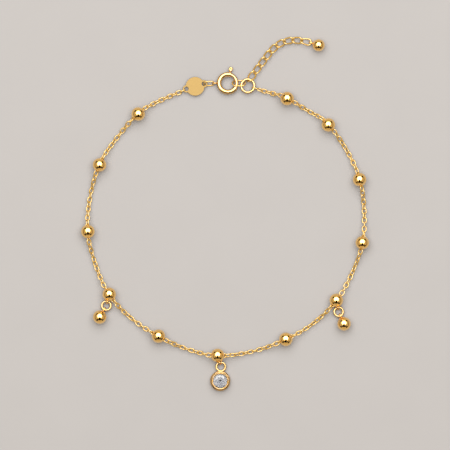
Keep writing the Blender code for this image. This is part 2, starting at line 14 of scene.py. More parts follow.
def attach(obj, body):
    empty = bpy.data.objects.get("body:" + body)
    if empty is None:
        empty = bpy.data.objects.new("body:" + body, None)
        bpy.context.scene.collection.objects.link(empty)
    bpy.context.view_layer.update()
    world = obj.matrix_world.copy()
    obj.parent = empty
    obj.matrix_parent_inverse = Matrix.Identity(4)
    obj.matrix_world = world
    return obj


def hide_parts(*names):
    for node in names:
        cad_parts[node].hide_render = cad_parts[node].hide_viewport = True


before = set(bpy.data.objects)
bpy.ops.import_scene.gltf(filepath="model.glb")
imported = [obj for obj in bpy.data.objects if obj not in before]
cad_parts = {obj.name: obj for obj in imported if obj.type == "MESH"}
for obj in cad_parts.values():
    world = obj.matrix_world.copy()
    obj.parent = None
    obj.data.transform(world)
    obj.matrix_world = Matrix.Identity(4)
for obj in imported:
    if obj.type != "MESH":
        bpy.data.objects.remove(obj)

MM = 0.001
UP = Vector((0.0, 0.0, 1.0))
HALF_TURN_STEPS = 12
LINK_SIDES = 12
RING_STEPS, RING_SIDES = 56, 16
BALL_STEPS, BORED_STEPS = 36, 34
Tone = tuple[float, float, float]
Path = list[tuple[Vector, Vector]]
Outline = list[tuple[float, float]]
log = logging.getLogger("anklet")


class Slot(Enum):
    """Material slots of the record."""

    POLISHED = "polished_gold"
    CHAIN = "chain_gold"
    SATIN = "satin_gold"


class Body(Enum):
    """Bodies that pieces ride on."""

    ANKLET = "anklet"
    GATE = "gate"


class Signal:
    """A number in a node tree; arithmetic on it adds Math nodes."""

    def __init__(self, tree: NodeTree, socket: NodeSocket) -> None:
        """Wraps an output socket of the tree."""
        self.tree = tree
        self.socket = socket

    def maths(self, operation: str, *others: object) -> "Signal":
        """Adds one Math node.

        Args:
            operation: the Math node's operation.
            others: further operands, numbers or signals.

        Returns:
            The node's result.
        """
        node = self.tree.nodes.new("ShaderNodeMath")
        node.operation = operation
        for target, operand in zip(node.inputs, (self, *others)):
            if isinstance(operand, Signal):
                self.tree.links.new(operand.socket, target)
            else:
                target.default_value = operand
        return Signal(self.tree, node.outputs[0])

    def __add__(self, other: object) -> "Signal":
        """Sum."""
        return self.maths("ADD", other)

    def __sub__(self, other: object) -> "Signal":
        """Difference."""
        return self.maths("SUBTRACT", other)

    def __rsub__(self, other: object) -> "Signal":
        """Difference, reflected."""
        return self * -1.0 + other

    def __mul__(self, other: object) -> "Signal":
        """Product."""
        return self.maths("MULTIPLY", other)

    def __truediv__(self, other: object) -> "Signal":
        """Quotient."""
        return self.maths("DIVIDE", other)

    def __rtruediv__(self, other: object) -> "Signal":
        """Quotient, reflected."""
        return self.maths("POWER", -1.0) * other

    __radd__, __rmul__ = __add__, __mul__


class Bench:
    """Makes the nodes of one tree."""

    def __init__(self, tree: NodeTree) -> None:
        """Takes the tree to work in."""
        self.tree = tree

    def node(self, kind: str, settings: dict | None = None, values: dict | None = None) -> Node:
        """Adds a node.

        Args:
            kind: the node's type.
            settings: its properties, set first.
            values: numbers, links or signals for its inputs, by name or place.

        Returns:
            The node.
        """
        made = self.tree.nodes.new(kind)
        for name, value in (settings or {}).items():
            setattr(made, name, value)
        self.feed(made, values or {})
        return made

    def feed(self, node: Node, values: dict) -> None:
        """Sets or links a node's inputs.

        Args:
            node: the node.
            values: numbers, links or signals for its inputs, by name or place.
        """
        for key, value in values.items():
            if isinstance(value, Signal):
                value = value.socket
            if isinstance(value, NodeSocket):
                self.tree.links.new(value, node.inputs[key])
            else:
                node.inputs[key].default_value = value

    def step(self, kind: str, values: dict | None = None, settings: dict | None = None) -> NodeSocket:
        """Adds a node and gives its first output."""
        return self.node(kind, settings, values).outputs[0]

    def signal(self, node: Node, output: int | str = 0) -> Signal:
        """Wraps one of a node's outputs."""
        return Signal(self.tree, node.outputs[output])

    def shade(self, values: dict) -> None:
        """Sets or links the inputs of the material's shader."""
        self.feed(self.tree.nodes["Principled BSDF"], values)

    def noise(self, scale: float, detail: float, roughness: float = 0.5) -> Signal:
        """Noise in the object's own coordinates.

        Args:
            scale: the noise's scale.
            detail: its detail.
            roughness: its roughness.

        Returns:
            The noise, from 0 to 1.
        """
        place = self.node("ShaderNodeTexCoord").outputs["Object"]
        values = {"Vector": place, "Scale": scale, "Detail": detail, "Roughness": roughness}
        return self.signal(self.node("ShaderNodeTexNoise", None, values), "Fac")

    def blend(self, share: Signal, low: Tone, high: Tone) -> NodeSocket:
        """Colour between two tones."""
        values = {0: share, 6: (*low, 1.0), 7: (*high, 1.0)}
        return self.node("ShaderNodeMix", {"data_type": "RGBA"}, values).outputs[2]

    def relief(self, height: Signal, strength: float, distance: float) -> NodeSocket:
        """Normal of a shallow relief."""
        values = {"Strength": strength, "Distance": distance, "Height": height}
        return self.step("ShaderNodeBump", values)

    def store(self, geometry: NodeSocket, name: str, kind: str, value: object) -> NodeSocket:
        """Stores an attribute on the geometry's points and hands the geometry on."""
        values = {"Geometry": geometry, "Name": name, "Value": value}
        return self.step("GeometryNodeStoreNamedAttribute", values, {"data_type": kind, "domain": "POINT"})

    def stored(self, name: str, kind: str) -> Signal:
        """Reads an attribute."""
        return self.signal(self.node("GeometryNodeInputNamedAttribute", {"data_type": kind}, {"Name": name}))


def new_material(name: str) -> tuple[Material, Bench]:
    """Starts a material.

    Args:
        name: the material's name.

    Returns:
        The material, and a bench on its nodes.
    """
    material = bpy.data.materials.new(name)
    material.use_nodes = True
    return material, Bench(material.node_tree)


def new_group(name: str, inputs: dict[str, str], output: str) -> Bench:
    """Starts a Geometry Nodes group.

    Args:
        name: the group's name.
        inputs: the kind of socket of each input.
        output: the name of the geometry that it gives.

    Returns:
        A bench on the group.
    """
    tree = bpy.data.node_groups.new(name, "GeometryNodeTree")
    for socket, kind in inputs.items():
        tree.interface.new_socket(name=socket, in_out="INPUT", socket_type="NodeSocket" + kind)
    tree.interface.new_socket(name=output, in_out="OUTPUT", socket_type="NodeSocketGeometry")
    return Bench(tree)


@dataclass(frozen=True)
class GoldFinish:
    """Gold plate: a bright and a deep tone in soft clouds, fine polish marks and a glaze."""

    name: str
    bright: Tone
    deep: Tone
    smooth: float
    rough: float
    cloud_scale: float
    mark_scale: float
    edge: Tone
    glaze_bend: float
    mark_depth: float = 2.0e-6
    metal: float = 1.0
    coat_share: float = 0.3
    cloud_share: float = 0.55
    relief: float = 0.35

    def material(self) -> Material:
        """Builds the finish once, and hands out the same material afterwards.

        Returns:
            The material.
        """
        known = bpy.data.materials.get(self.name)
        if known:
            return known
        material, bench = new_material(self.name)
        cloud, mark = bench.noise(self.cloud_scale, 3.0, 0.55), bench.noise(self.mark_scale, 2.0, 0.6)
        wear = self.cloud_share * cloud + (1.0 - self.cloud_share) * mark
        bench.shade({
            "Base Color": bench.blend(cloud, self.deep, self.bright),
            "Roughness": self.smooth + (self.rough - self.smooth) * wear,
            "Normal": bench.relief(mark, self.relief, self.mark_depth),
            "Metallic": self.metal,
            "Specular Tint": (*self.edge, 1.0),
            "Coat Weight": 1.0,
            "Coat Roughness": self.smooth * self.coat_share,
            "Coat IOR": self.glaze_bend,
        })
        return material


@dataclass(frozen=True)
class StoneFinish:
    """Clear cut stone with a faint grey body colour."""

    name: str = "cut_stone"
    bright: Tone = (0.170, 0.174, 0.188)
    deep: Tone = (0.055, 0.056, 0.060)
    bend: float = 1.85

    def material(self) -> Material:
        """Builds the stone's material.

        Returns:
            The material.
        """
        material, bench = new_material(self.name)
        haze = bench.noise(900.0, 2.0)
        bench.shade({
            "Base Color": bench.blend(haze, self.deep, self.bright),
            "Roughness": 0.004 + 0.012 * haze,
            "Transmission Weight": 1.0,
            "IOR": self.bend,
        })
        return material


POLISHED_GOLD = GoldFinish(
    name="polished_gold_plate",
    bright=(1.0, 0.635, 0.175),
    deep=(0.97, 0.570, 0.125),
    smooth=0.01,
    rough=0.035,
    cloud_scale=420.0,
    mark_scale=5200.0,
    edge=(1.0, 0.97, 0.90),
    glaze_bend=1.85,
)
WIRE_GOLD = GoldFinish(
    name="drawn_wire_gold_plate",
    bright=(0.66, 0.375, 0.055),
    deep=(0.55, 0.285, 0.025),
    smooth=0.14,
    rough=0.22,
    cloud_scale=600.0,
    mark_scale=6000.0,
    edge=(1.0, 0.90, 0.70),
    glaze_bend=2.4,
)
CHAIN_GOLD = GoldFinish(
    name="chain_gold_plate",
    bright=(0.67, 0.450, 0.095),
    deep=(0.52, 0.282, 0.020),
    smooth=0.24,
    rough=0.38,
    cloud_scale=700.0,
    mark_scale=6500.0,
    mark_depth=3.0e-6,
    edge=(1.0, 0.92, 0.75),
    glaze_bend=2.05,
    metal=0.66,
)
SATIN_GOLD = GoldFinish(
    name="satin_gold_plate",
    bright=(0.296, 0.193, 0.0625),
    deep=(0.273, 0.178, 0.0552),
    smooth=0.44,
    rough=0.52,
    cloud_scale=500.0,
    mark_scale=9000.0,
    edge=(1.0, 0.92, 0.78),
    glaze_bend=1.05,
    metal=0.45,
)
CUT_STONE = StoneFinish()


@dataclass
class Shell:
    """Points and faces of a closed surface, or of several."""

    points: list[Vector] = field(default_factory=list)
    faces: list[tuple[int, ...]] = field(default_factory=list)

    def plus(self, other: "Shell") -> "Shell":
        """Puts another shell beside this one.

        Args:
            other: the other shell.

        Returns:
            A shell of both.
        """
        base = len(self.points)
        faces = [tuple(base + i for i in face) for face in other.faces]
        return Shell(self.points + other.points, self.faces + faces)

    def moved(self, place: Matrix) -> "Shell":
        """The shell set in its place."""
        return Shell([place @ p for p in self.points], list(self.faces))

    @staticmethod
    def turned(profile: Outline, sides: int, closed: bool) -> "Shell":
        """Turns a (radius, height) profile about Z.

        Args:
            profile: outline from one end to the other; a radius of zero is a pole.
            sides: faces round.
            closed: joins the outline's ends.

        Returns:
            The turned shell.
        """
        shell = Shell()
        rings: list[list[int]] = []
        for radius, height in profile:
            if radius < 1e-9:
                shell.points.append(Vector((0, 0, height)))
                rings.append([len(shell.points) - 1] * sides)
                continue
            first = len(shell.points)
            for k in range(sides):
                a = 2 * math.pi * k / sides
                shell.points.append(Vector((radius * math.cos(a), radius * math.sin(a), height)))
            rings.append(list(range(first, first + sides)))
        pairs = list(zip(rings, rings[1:])) + ([(rings[-1], rings[0])] if closed else [])
        for low, high in pairs:
            for k in range(sides):
                n = (k + 1) % sides
                face = tuple(dict.fromkeys((low[k], low[n], high[n], high[k])))
                if len(face) > 2:
                    shell.faces.append(face)
        return shell

    @staticmethod
    def drawn(path: Path, radii: list[float], sides: int, closed: bool) -> "Shell":
        """Draws round wire along a path.

        Args:
            path: points, each with a reference normal.
            radii: the wire's radius at each point.
            sides: faces round the wire.
            closed: joins the path's ends; otherwise they get caps.

        Returns:
            The drawn shell.
        """
        shell = Shell()
        count = len(path)
        for k, (point, normal) in enumerate(path):
            before = path[k - 1][0] if closed or k else point
            after = path[(k + 1) % count][0] if closed or k < count - 1 else point
            tangent = (after - before).normalized()
            side = tangent.cross(normal).normalized()
            lift = side.cross(tangent)
            for s in range(sides):
                a = 2 * math.pi * s / sides
                shell.points.append(point + radii[k] * (math.cos(a) * side + math.sin(a) * lift))
        for k in range(count if closed else count - 1):
            low, high = k * sides, (k + 1) % count * sides
            for s in range(sides):
                n = (s + 1) % sides
                shell.faces.append((low + s, low + n, high + n, high + s))
        if not closed:
            shell.faces.append(tuple(range(sides)))
            shell.faces.append(tuple((count - 1) * sides + s for s in range(sides)))
        return shell

    def piece(self, name: str, finish: Material, sharp: float = 40.0) -> Object:
        """Makes the shell an object.

        Args:
            name: the piece's name.
            finish: its material.
            sharp: the angle in degrees over which an edge stays sharp.

        Returns:
            The object, at the origin.
        """
        mesh = bpy.data.meshes.new(name)
        mesh.from_pydata([tuple(p) for p in self.points], [], self.faces)
        bm = bmesh.new()
        bm.from_mesh(mesh)
        bmesh.ops.recalc_face_normals(bm, faces=bm.faces)
        bm.to_mesh(mesh)
        bm.free()
        mesh.shade_smooth()
        mesh.set_sharp_from_angle(angle=math.radians(sharp))
        mesh.materials.append(finish)
        return new_object(name, mesh)

    def dress(self, name: str, finish: Material, node: str, sharp: float = 40.0) -> None:
        """Makes the shell a piece in place of one polished node of the anklet.

        Args:
            name: the piece's name.
            finish: its material.
            node: the CAD node that it stands for.
            sharp: the angle in degrees over which an edge stays sharp.
        """
        hand_over(self.piece(name, finish, sharp), Body.ANKLET, [node])


def new_object(name: str, data: ID) -> Object:
    """Puts data in the scene as an object, at the origin.

    Args:
        name: the object's name.
        data: its mesh, curve, lamp or camera.

    Returns:
        The object.
    """
    obj = bpy.data.objects.new(name, data)
    bpy.context.scene.collection.objects.link(obj)
    return obj


def settled_mesh(holder: Object) -> Mesh:
    """Turns an object into a plain mesh, and removes it.

    Args:
        holder: an object with a modifier, or a curve.

    Returns:
        Its evaluated mesh.
    """
    graph = bpy.context.evaluated_depsgraph_get()
    mesh = bpy.data.meshes.new_from_object(holder.evaluated_get(graph))
    bpy.data.objects.remove(holder, do_unlink=True)
    return mesh


def hand_over(piece: Object, body: Body, nodes: list[str]) -> None:
    """Sets a finished piece on the frame.

    Args:
        piece: the object, at the origin.
        body: the body that it rides on.
        nodes: the CAD nodes that it stands for.
    """
    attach(piece, body.value)
    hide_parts(*nodes)
    log.info("%s: %d faces, rides on %s", piece.name, len(piece.data.polygons), body.value)


def heading_vector(degrees: float) -> Vector:
    """Unit vector in the XY plane."""
    return Vector((math.cos(math.radians(degrees)), math.sin(math.radians(degrees)), 0.0))


def flat(vector: Vector) -> Vector:
    """The vector's level part, of unit length."""
    return Vector((vector.x, vector.y, 0.0)).normalized()


def axes_matrix(origin: Vector, forward: Vector) -> Matrix:
    """Frame with X along forward, Y level and Z up from it.

    Args:
        origin: the frame's origin.
        forward: the direction of its X axis.

    Returns:
        The frame's matrix.
    """
    x = forward.normalized()
    y = UP.cross(x).normalized()
    turn = Matrix((x, y, x.cross(y))).transposed().to_4x4()
    return Matrix.Translation(origin) @ turn


def oval_path(half_length: float, half_width: float, rolls: tuple[float, float]) -> Path:
    """Centreline of an oval link on X.

    Args:
        half_length: half the centreline's length.
        half_width: half its width.
        rolls: the link's roll in degrees at its start and at its end.

    Returns:
        Points with the link's normal at each.
    """
    straight = half_length - half_width
    outline: Outline = []
    for end in (1, -1):
        for k in range(HALF_TURN_STEPS + 1):
            turn = math.radians(-90 + 180 / HALF_TURN_STEPS * k)
            reach = straight + half_width * math.cos(turn)
            outline.append((end * reach, end * half_width * math.sin(turn)))
        for k in range(1, 4):
            outline.append((end * straight * (1 - k / 2), end * half_width))
    path = []
    for x, across in outline:
        share = 0.5 + 0.5 * math.sin(math.pi / 2 * max(-1.0, min(1.0, x / half_length)))
        roll = math.radians(rolls[0] + (rolls[1] - rolls[0]) * share)
        point = Vector((x, across * math.cos(roll), across * math.sin(roll)))
        path.append((point, Vector((0, -math.sin(roll), math.cos(roll)))))
    return path


def oval_link(
    start: Vector, end: Vector, half_width: float, wire: float, rolls: tuple[float, float] = (90.0, 90.0)
) -> Shell:
    """Oval link whose wire's centreline reaches from start to end.

    Args:
        start: centreline's first apex.
        end: centreline's last apex.
        half_width: half the centreline's width.
        wire: the wire's radius.
        rolls: roll in degrees at each end.

    Returns:
        The link in its place.
    """
    path = oval_path((end - start).length / 2, half_width, rolls)
    shell = Shell.drawn(path, [wire] * len(path), LINK_SIDES, True)
    return shell.moved(axes_matrix((start + end) / 2, end - start))


def round_ring(radius: float, wire: float, centre: Vector, across: Vector, up: Vector) -> Shell:
    """Round wire ring.

    Args:
        radius: the centreline's radius.
        wire: the wire's radius.
        centre: the ring's centre.
        across: first direction in its plane.
        up: second direction in its plane.

    Returns:
        The ring.
    """
    normal = across.cross(up)
    turns = [2 * math.pi * k / RING_STEPS for k in range(RING_STEPS)]
    path = [(centre + radius * (math.cos(a) * across + math.sin(a) * up), normal) for a in turns]
    return Shell.drawn(path, [wire] * RING_STEPS, RING_SIDES, True)


def side_profile(radius: float, first: float, last: float, steps: int) -> Outline:
    """(radius, height) points of a ball's side.

    Args:
        radius: the ball's radius.
        first: angle from the lower pole at the start.
        last: angle at the end.
        steps: number of steps.

    Returns:
        The points, upwards.
    """
    angles = [first + (last - first) * k / steps for k in range(steps + 1)]
    return [(radius * math.sin(a), -radius * math.cos(a)) for a in angles]


def plain_ball(radius: float, steps: int, sides: int) -> Shell:
    """Plain ball with a point at each pole."""
    profile = [(0.0, -radius), *side_profile(radius, 0.0, math.pi, steps)[1:-1], (0.0, radius)]
    return Shell.turned(profile, sides, False)


def headings(anchors: list[Vector]) -> list[Vector]:
    """Level direction of the chain through each anchor between the first and the last."""
    return [flat(after - before) for before, after in zip(anchors, anchors[2:])]


def flat_ring(radius: float, wire: float, centre: Vector) -> Shell:
    """Round wire ring that lies flat."""
    return round_ring(radius, wire, centre, Vector((1, 0, 0)), Vector((0, 1, 0)))


@dataclass(frozen=True)
class Station:
    """A bead: its angle, its offset from the loop, and how far the chain before it bows out, in mm."""

    name: str
    angle: float
    offset: float
    bulge: float


@dataclass(frozen=True)
class Layout:
    """Places that the pieces share."""

    radius: float = 36.3 * MM
    shift: float = 1.86 * MM
    bead: float = 1.825 * MM
    gap: float = 0.06 * MM
    lift: float = 0.01 * MM
    stations: tuple[Station, ...] = (
        Station("bead_01", 129.3, 0.02, 0.47),
        Station("bead_02", 156.3, 0.04, 0.69),
        Station("bead_03", 184.8, 0.18, 1.03),
        Station("bead_04", 212.7, 0.18, 0.94),
        Station("bead_05", 240.2, -0.80, 1.07),
        Station("bead_06", 266.9, -0.33, 0.92),
        Station("bead_07", 297.0, -0.79, 1.13),
        Station("bead_08", 324.2, 0.10, 1.13),
        Station("bead_09", 350.6, 0.60, 0.88),
        Station("bead_10", 376.7, 0.95, 0.90),
        Station("bead_11", 402.6, 0.94, 0.91),
        Station("bead_12", 422.9, -0.14, 0.30),
    )
    last_bulge: float = 0.04
    clasp_place: tuple[float, float] = (88.8, 0.0)
    end_ring_place: tuple[float, float] = (80.35, -0.20)
    tag_place: tuple[float, float] = (102.6, 0.04)
    tag_turn: float = 16.0
    tag_hole_offset: float = 2.40 * MM
    tag_hole_radius: float = 0.62 * MM
    tag_height: float = 0.74 * MM
    clasp_height: float = 0.92 * MM
    end_ring_height: float = 0.92 * MM
    end_ring_radius: float = 1.74 * MM
    end_ring_wire: float = 0.35 * MM

    def on_loop(self, place: tuple[float, float], height: float) -> Vector:
        """Point on the loop.

        Args:
            place: angle in degrees, and offset outwards in mm.
            height: the point's height.

        Returns:
            The point.
        """
        angle, offset = place
        level = heading_vector(angle) * (self.radius + offset * MM)
        return level + Vector((0, -self.shift, height))

    def beads(self) -> list[Vector]:
        """Bead centres round the loop."""
        return [self.on_loop((s.angle, s.offset), self.bead) for s in self.stations]

    def tag_hole(self, end: int) -> Vector:
        """Centre of the tag's hole on the chain's side (-1) or the clasp's (1)."""
        centre = self.on_loop(self.tag_place, self.tag_height)
        return centre + heading_vector(self.tag_turn) * end * self.tag_hole_offset

    def end_ring(self) -> Vector:
        """Centre of the end ring."""
        return self.on_loop(self.end_ring_place, self.end_ring_height)


LINK_SIZES = {"Link Length": "Float", "Link Width": "Float", "Wire": "Float"}
LINK_MARKS = ("along", "centre", "reach", "roll_start", "roll_end")


@dataclass
class LinkMaker:
    """Geometry Nodes trees that set oval links on points and along a route."""

    length: float
    width: float
    wire: float
    sides: int = 8
    corner_points: int = 5
    corner_share: float = 0.499
    drift: float = 7.0
    drift_step: float = 0.13

    def links_on_points(self) -> NodeTree:
        """Tree that draws an oval link on each point.

        Returns:
            A group that reads the points' attributes along, roll_start and roll_end.
        """
        inputs = {"Points": "Geometry", **LINK_SIZES, "Finish": "Material"}
        bench = new_group("links_on_points", inputs, "Links")
        given = bench.node("NodeGroupInput")
        length, width, wire = (bench.signal(given, name) for name in LINK_SIZES)
        inside = {"Width": length - wire * 2.0, "Height": width - wire * 2.0}
        box = bench.step("GeometryNodeCurvePrimitiveQuadrilateral", inside, {"mode": "RECTANGLE"})
        corner = inside["Height"] * self.corner_share
        values = {"Curve": box, "Radius": corner, "Count": self.corner_points}
        oval = bench.step("GeometryNodeFilletCurve", values, {"mode": "POLY"})
        place = bench.step("GeometryNodeInputPosition")
        marked = bench.store(oval, "reach", "FLOAT", bench.step("ShaderNodeSeparateXYZ", {0: place}))
        centred = bench.store(given.outputs["Points"], "centre", "FLOAT_VECTOR", place)
        along, centre = (bench.stored(name, "FLOAT_VECTOR") for name in ("along", "centre"))
        first, last, reached = (bench.stored(name, "FLOAT") for name in ("roll_start", "roll_end", "reach"))
        turn: dict[str, NodeSocket] = {}
        for pivot in ("Z", "Y"):
            settings = {"axis": "X", "pivot_axis": pivot}
            aligned = bench.step("FunctionNodeAlignRotationToVector", {"Vector": along, **turn}, settings)
            turn = {"Rotation": aligned}
        copies = bench.step("GeometryNodeInstanceOnPoints", {"Points": centred, "Instance": marked, **turn})
        loose = bench.step("GeometryNodeRealizeInstances", {0: copies})
        share = (reached / (inside["Width"] * 0.5)).maths("MAXIMUM", -1.0).maths("MINIMUM", 1.0)
        share = 0.5 + 0.5 * (share * (math.pi / 2)).maths("SINE")
        values = {"Vector": place, "Center": centre, "Axis": along, "Angle": first + (last - first) * share}
        rolled = bench.step("ShaderNodeVectorRotate", values, {"rotation_type": "AXIS_ANGLE"})
        twisted = bench.step("GeometryNodeSetPosition", {"Geometry": loose, "Position": rolled})
        values = {"Resolution": self.sides, "Radius": wire}
        section = bench.step("GeometryNodeCurvePrimitiveCircle", values, {"mode": "RADIUS"})
        drawn = bench.step("GeometryNodeCurveToMesh", {"Curve": twisted, "Profile Curve": section})
        smooth = bench.step("GeometryNodeSetShadeSmooth", {"Geometry": drawn})
        values = {"Geometry": smooth, "Material": given.outputs["Finish"]}
        bench.node("NodeGroupOutput", None, {0: bench.step("GeometryNodeSetMaterial", values)})
        return bench.tree

    def run(self, along_route: bool) -> NodeTree:
        """Tree for a modifier.

        Args:
            along_route: spaces links along a route of edges, turned by a quarter in turn; otherwise the
                mesh's own points carry the links.

        Returns:
            The tree, with its sizes as named inputs.
        """
        play_inputs = {"Pitch": "Float", "Roll": "Float", "Play": "Float", "Seed": "Int"}
        inputs = {"Geometry": "Geometry", **LINK_SIZES, **play_inputs, "Finish": "Material"}
        bench = new_group("cable_run" if along_route else "curb_run", inputs, "Geometry")
        given = bench.node("NodeGroupInput")
        points = given.outputs["Geometry"]
        if along_route:
            route = bench.step("GeometryNodeMeshToCurve", {0: points})
            values = {"Curve": route, "Length": given.outputs["Pitch"]}
            spaced = bench.step("GeometryNodeResampleCurve", values, {"mode": "LENGTH"})
            beads = bench.node("GeometryNodeCurveToPoints", {"mode": "EVALUATED"}, {0: spaced})
            index = bench.signal(bench.node("GeometryNodeInputIndex"))
            play = bench.signal(given, "Play")
            values = {2: play * -1.0, 3: play, "ID": index, "Seed": given.outputs["Seed"]}
            loose = bench.node("FunctionNodeRandomValue", {"data_type": "FLOAT"}, values)
            quarter = index.maths("MODULO", 2.0) * (math.pi / 2)
            values = {"W": index * self.drift_step, "Scale": 1.0}
            drift = bench.node("ShaderNodeTexNoise", {"noise_dimensions": "1D"}, values)
            slow = (bench.signal(drift) - 0.5) * play * self.drift
            roll = bench.signal(given, "Roll") + quarter + bench.signal(loose, 1) + slow
            points = bench.store(beads.outputs[0], "along", "FLOAT_VECTOR", beads.outputs["Tangent"])
            for name in ("roll_start", "roll_end"):
                points = bench.store(points, name, "FLOAT", roll)
        passed = {name: given.outputs[name] for name in (*LINK_SIZES, "Finish")}
        settings = {"node_tree": self.links_on_points()}
        group = bench.step("GeometryNodeGroup", {"Points": points, **passed}, settings)
        bench.node("NodeGroupOutput", None, {0: group})
        return bench.tree

    def build(
        self, name: str, carrier: Mesh, finish: Material, route: dict | None = None
    ) -> Object:
        """Runs the tree on a carrier and keeps the result as a plain mesh.

        Args:
            name: the piece's name.
            carrier: a mesh of route edges, or of points with their attributes.
            finish: the links' material.
            route: Pitch, Roll, Play and Seed for links along a route.

        Returns:
            The finished object, at the origin.
        """
        holder = new_object(name + "_carrier", carrier)
        tree = self.run(route is not None)
        modifier = holder.modifiers.new("links", "NODES")
        modifier.node_group = tree
        values = {"Link Length": self.length, "Link Width": self.width, "Wire": self.wire, "Finish": finish}
        values.update(route or {})
        for item in tree.interface.items_tree:
            if item.item_type == "SOCKET" and item.in_out == "INPUT" and item.name in values:
                modifier[item.identifier] = values[item.name]
        mesh = settled_mesh(holder)
        mesh.name = name
        for mark in LINK_MARKS:
            if mark in mesh.attributes:
                mesh.attributes.remove(mesh.attributes[mark])
        if not mesh.materials:
            mesh.materials.append(finish)
        return new_object(name, mesh)


@dataclass
class CableChain:
    """Cable chain that runs from the tag through the station beads to the end ring."""

    layout: Layout
    link_length: float = 1.91 * MM
    link_width: float = 1.38 * MM
    wire: float = 0.165 * MM
    pitch: float = 1.23 * MM
    spacing_share: float = 0.94
    route_steps: int = 40
    straight: float = 0.30 * MM
    rest_height: float = 0.72 * MM
    droop_share: float = 0.36
    roll: float = math.radians(-30.0)
    play: float = math.radians(11.0)
    seed: int = 7
    hidden: float = 0.15 * MM
    end_wire: float = 0.16 * MM
    tag_link_half: float = 0.75 * MM
    tag_link_half_width: float = 0.45 * MM
    ring_link_half: float = 0.86 * MM

    def end_links(self) -> tuple[tuple[Vector, Vector, float], tuple[Vector, Vector, float]]:
        """Lays out the chain's end links.

        Returns:
            Start, end and half width of the link at the tag, and of the one at the end ring.
        """
        beads = self.layout.beads()
        hole = self.layout.tag_hole(-1)
        out = flat(beads[0] - hole)
        start = hole + out * (self.layout.tag_hole_radius - self.end_wire - self.layout.gap)
        at_tag = (start, start + out * 2 * self.tag_link_half, self.tag_link_half_width)
        ring = self.layout.end_ring()
        out = flat(beads[-1] - ring)
        half_width = self.layout.end_ring_wire + self.end_wire + self.layout.gap
        start = ring + out * (self.layout.end_ring_radius - half_width)
        return at_tag, (start, start + out * 2 * self.ring_link_half, half_width)

    def anchors(self) -> list[Vector]:
        """Start of the run, the beads' centres and its end."""
        at_tag, at_ring = self.end_links()
        return [at_tag[1], *self.layout.beads(), at_ring[1]]

    def stretches(self) -> list[list[Vector]]:
        """Bows the chain out between its anchors, and lets it down to rest.

        Returns:
            Fine points of the run between each two anchors.
        """
        anchors = self.anchors()
        first, *beads, last = anchors
        ways = headings(anchors)
        reach = self.layout.bead + self.straight
        leaves = [first] + [c + h * reach for c, h in zip(beads, ways)]
        arrives = [c - h * reach for c, h in zip(beads, ways)] + [last]
        bulges = [s.bulge * MM for s in self.layout.stations] + [self.layout.last_bulge * MM]
        middle_of_loop = Vector((0, -self.layout.shift, 0))
        runs = []
        for k, (leave, arrive, bulge) in enumerate(zip(leaves, arrives, bulges)):
            middle = (leave + arrive) / 2
            outward = flat(middle - middle_of_loop)
            bow = bulge - (middle - (anchors[k] + anchors[k + 1]) / 2).dot(outward)
            run = [beads[k - 1]] if k else []
            for step in range(self.route_steps + 1):
                share = step / self.route_steps
                point = leave.lerp(arrive, share) + outward * bow * 4 * share * (1 - share)
                near = leave.z if share < 0.5 else arrive.z
                edge = min(share, 1 - share)
                droop = 0.5 + 0.5 * math.cos(math.pi * min(1.0, edge / self.droop_share))
                point.z = self.rest_height + (near - self.rest_height) * droop
                run.append(point)
            runs.append(run + ([beads[k]] if k < len(beads) else []))
        return runs

    def trimmed(self, run: list[Vector], first: bool, last: bool) -> list[Vector]:
        """Cuts a run to a whole number of pitches, with its ends inside the beads.

        Args:
            run: points from anchor to anchor.
            first: the run starts at the tag's end link, not in a bead.
            last: the run ends at the end ring's link.

        Returns:
            Points one pitch apart, each the centre of a link.
        """
        lengths = [0.0]
        for a, b in zip(run, run[1:]):
            lengths.append(lengths[-1] + (b - a).length)
        hook = self.link_length / 2 - self.wire - (self.end_wire + self.wire + self.layout.lift)
        low = hook if first else self.hidden + self.link_length / 2
        high = lengths[-1] - (hook if last else self.hidden + self.link_length / 2)
        count = int((high - low) / self.pitch)
        spare = (high - low) - count * self.pitch
        start = low if first else (low + spare if last else low + spare / 2)
        points = []
        for k in range(count + 1):
            wanted = start + k * self.pitch
            j = max(i for i in range(len(lengths) - 1) if lengths[i] <= wanted)
            share = (wanted - lengths[j]) / (lengths[j + 1] - lengths[j])
            points.append(run[j].lerp(run[j + 1], share))
        return points

    def build(self) -> None:
        """Lays every link, and the two end links."""
        points: list[Vector] = []
        edges: list[tuple[int, int]] = []
        runs = self.stretches()
        for k, run in enumerate(runs):
            centres = self.trimmed(run, k == 0, k == len(runs) - 1)
            base = len(points)
            points += centres
            edges += [(base + i, base + i + 1) for i in range(len(centres) - 1)]
        carrier = bpy.data.meshes.new("cable_route")
        carrier.from_pydata([tuple(p) for p in points], edges, [])
        maker = LinkMaker(self.link_length, self.link_width, self.wire)
        spacing = self.pitch * self.spacing_share
        settings = {"Pitch": spacing, "Roll": self.roll, "Play": self.play, "Seed": self.seed}
        chain = maker.build("cable_chain_links", carrier, CHAIN_GOLD.material(), settings)
        hand_over(chain, Body.ANKLET, ["cable_chain"])
        log.info("cable chain: %d links", len(points))
        names = ("chain_end_link_tag", "chain_end_link_ring")
        for name, (start, end, half_width) in zip(names, self.end_links()):
            link = oval_link(start, end, half_width, self.end_wire)
            link.dress(name + "_wire", CHAIN_GOLD.material(), name)


@dataclass
class Drop:
    """What hangs on a station bead: heading of its ring from the bead and of the drop from the ring."""

    bead: str
    ring_heading: float
    drop_heading: float


